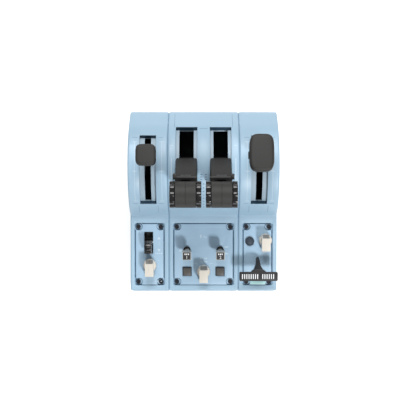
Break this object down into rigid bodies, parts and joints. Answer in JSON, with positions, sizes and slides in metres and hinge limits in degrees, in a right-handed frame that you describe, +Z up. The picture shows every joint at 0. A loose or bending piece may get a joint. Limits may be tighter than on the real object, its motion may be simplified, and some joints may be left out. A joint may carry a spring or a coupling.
{
  "type": "throttle quadrant",
  "caption": "Desk-top throttle quadrant: thrust, speed-brake and flap levers in slotted drums, with switches, keys and knobs on sloped front panels.",
  "frame": {"origin": "middle of the footprint, on the surface the rubber feet stand on", "axes": "+X to the user's right, +Y away from the user (forward thrust), +Z up"},
  "size_m": [0.171, 0.208, 0.1619],
  "materials": {
    "blue_case": "fine satin moulded, pale blue-grey",
    "blue_plate": "satin powder coat, pale blue-grey",
    "guide_grey": "satin light grey",
    "tray_black": "moulded black, fine spark texture",
    "lever_black": "glass-filled nylon, dark grey",
    "grip_grey": "satin dark grey",
    "ring_black": "glossy black",
    "knob_ivory": "semi-gloss off-white",
    "cap_grey": "satin light grey",
    "key_dark": "satin dark blue-grey",
    "handle_black": "satin black",
    "steel_bright": "turned or stamped bright steel",
    "screw_black": "black oxide",
    "foot_rubber": "matt black",
    "board_green": "solder mask",
    "module_black": "moulded black"
  },
  "bodies": {
    "base": {"centre_housing": "blue_case", "left_housing": "blue_case", "right_housing": "blue_case", "centre_base_tray": "tray_black", "left_base_tray": "tray_black", "right_base_tray": "tray_black", "centre_control_plate": "blue_plate", "left_control_plate": "blue_plate", "right_control_plate": "blue_plate", "thrust_slot_guide_1": "guide_grey", "thrust_slot_guide_2": "guide_grey", "speed_brake_slot_guide": "guide_grey", "flap_slot_guide": "guide_grey", "centre_bearing_stands": "steel_bright", "left_bearing_stands": "steel_bright", "right_bearing_stands": "steel_bright", "centre_axle": "steel_bright", "left_axle": "steel_bright", "right_axle": "steel_bright", "axle_clips": "steel_bright", "friction_washers": "steel_bright", "spacer_sleeves": "steel_bright", "plate_screws": "screw_black", "tray_screws": "screw_black", "rubber_feet": "foot_rubber", "link_plates": "steel_bright", "switch_bushes": "steel_bright", "rotary_modules": "module_black", "key_modules": "module_black", "gear_cradle": "module_black", "gear_pin": "steel_bright", "reset_button_bezel": "key_dark", "circuit_boards": "board_green", "position_sensors": "module_black", "usb_inlet": "steel_bright"},
    "thrust_lever_1": {"thrust_lever_1": "lever_black", "thrust_grip_1": "grip_grey", "grip_rings_1": "ring_black"},
    "thrust_lever_2": {"thrust_lever_2": "lever_black", "thrust_grip_2": "grip_grey", "grip_rings_2": "ring_black"},
    "release_button_1": {"release_button_1": "ring_black"},
    "release_button_2": {"release_button_2": "ring_black"},
    "lift_latch_1": {"lift_latch_1": "grip_grey"},
    "lift_latch_2": {"lift_latch_2": "grip_grey"},
    "speed_brake_lever": {"speed_brake_lever": "lever_black", "speed_brake_knob": "grip_grey"},
    "flap_lever": {"flap_lever": "lever_black", "flap_knob": "grip_grey"},
    "flap_latch": {"flap_latch_collar": "grip_grey"},
    "engine_switch_1": {"engine_switch_1": "cap_grey"},
    "engine_switch_2": {"engine_switch_2": "cap_grey"},
    "selector_key_1": {"selector_key_1": "key_dark"},
    "selector_key_2": {"selector_key_2": "key_dark"},
    "mode_knob": {"mode_knob": "knob_ivory"},
    "brake_level_knob": {"brake_level_knob": "knob_ivory"},
    "trim_knob": {"trim_knob": "knob_ivory"},
    "trim_reset_button": {"trim_reset_button": "key_dark"},
    "gear_lever": {"gear_lever": "ring_black"},
    "park_brake_handle": {"park_brake_handle": "handle_black"}
  },
  "joints": [
    {"name": "thrust_lever_1_pivot", "type": "hinge", "parent": "base", "child": "thrust_lever_1", "pos_m": [-0.0193, 0.043, 0.042], "axis": [-1, 0, 0], "range_deg": [-23, 37]},
    {"name": "release_button_1_press", "type": "slide", "parent": "thrust_lever_1", "child": "release_button_1", "axis": [1, 0, 0], "range_m": [0, 0.0012], "stiffness_N_per_m": 500, "springref_m": -0.001},
    {"name": "lift_latch_1_lift", "type": "slide", "parent": "thrust_lever_1", "child": "lift_latch_1", "axis": [0, -0.4067, 0.9135], "range_m": [0, 0.004], "stiffness_N_per_m": 300, "springref_m": -0.003},
    {"name": "engine_switch_1_throw", "type": "hinge", "parent": "base", "child": "engine_switch_1", "pos_m": [-0.0193, -0.05711, 0.04692], "axis": [-1, 0, 0], "range_deg": [0, 25]},
    {"name": "selector_key_1_press", "type": "slide", "parent": "base", "child": "selector_key_1", "axis": [0, 0.1564, -0.9877], "range_m": [0, 0.0012], "stiffness_N_per_m": 500, "springref_m": -0.001},
    {"name": "thrust_lever_2_pivot", "type": "hinge", "parent": "base", "child": "thrust_lever_2", "pos_m": [0.0193, 0.043, 0.042], "axis": [-1, 0, 0], "range_deg": [-23, 37]},
    {"name": "release_button_2_press", "type": "slide", "parent": "thrust_lever_2", "child": "release_button_2", "axis": [-1, 0, 0], "range_m": [0, 0.0012], "stiffness_N_per_m": 500, "springref_m": -0.001},
    {"name": "lift_latch_2_lift", "type": "slide", "parent": "thrust_lever_2", "child": "lift_latch_2", "axis": [0, -0.4067, 0.9135], "range_m": [0, 0.004], "stiffness_N_per_m": 300, "springref_m": -0.003},
    {"name": "engine_switch_2_throw", "type": "hinge", "parent": "base", "child": "engine_switch_2", "pos_m": [0.0193, -0.05711, 0.04692], "axis": [-1, 0, 0], "range_deg": [0, 25]},
    {"name": "selector_key_2_press", "type": "slide", "parent": "base", "child": "selector_key_2", "axis": [0, 0.1564, -0.9877], "range_m": [0, 0.0012], "stiffness_N_per_m": 500, "springref_m": -0.001},
    {"name": "speed_brake_pivot", "type": "hinge", "parent": "base", "child": "speed_brake_lever", "pos_m": [-0.063, 0.043, 0.042], "axis": [-1, 0, 0], "range_deg": [-46, 20]},
    {"name": "flap_pivot", "type": "hinge", "parent": "base", "child": "flap_lever", "pos_m": [0.063, 0.043, 0.042], "axis": [-1, 0, 0], "range_deg": [-47, 19]},
    {"name": "flap_latch_lift", "type": "slide", "parent": "flap_lever", "child": "flap_latch", "axis": [0, 0, 1], "range_m": [0, 0.004], "stiffness_N_per_m": 300, "springref_m": -0.003},
    {"name": "mode_knob_turn", "type": "hinge", "parent": "base", "child": "mode_knob", "pos_m": [0, -0.08178, 0.04352], "axis": [0, -0.1564, 0.9877], "range_deg": [-45, 45]},
    {"name": "brake_level_turn", "type": "hinge", "parent": "base", "child": "brake_level_knob", "pos_m": [-0.0627, -0.07467, 0.04465], "axis": [0, -0.1564, 0.9877], "range_deg": [-75, 75]},
    {"name": "trim_knob_turn", "type": "hinge", "parent": "base", "child": "trim_knob", "pos_m": [0.0721, -0.04563, 0.04925], "axis": [0, -0.1564, 0.9877], "range_deg": [-35, 35], "stiffness_Nm_per_rad": 0.02},
    {"name": "trim_reset_press", "type": "slide", "parent": "base", "child": "trim_reset_button", "axis": [0, 0.1564, -0.9877], "range_m": [0, 0.0012], "stiffness_N_per_m": 400, "springref_m": -0.001},
    {"name": "gear_lever_throw", "type": "hinge", "parent": "base", "child": "gear_lever", "pos_m": [-0.0642, -0.04759, 0.04185], "axis": [-1, 0, 0], "range_deg": [0, 30]},
    {"name": "park_brake_turn", "type": "hinge", "parent": "base", "child": "park_brake_handle", "pos_m": [0.063, -0.06765, 0.04576], "axis": [0, 0.1564, -0.9877], "range_deg": [0, 90]}
  ]
}
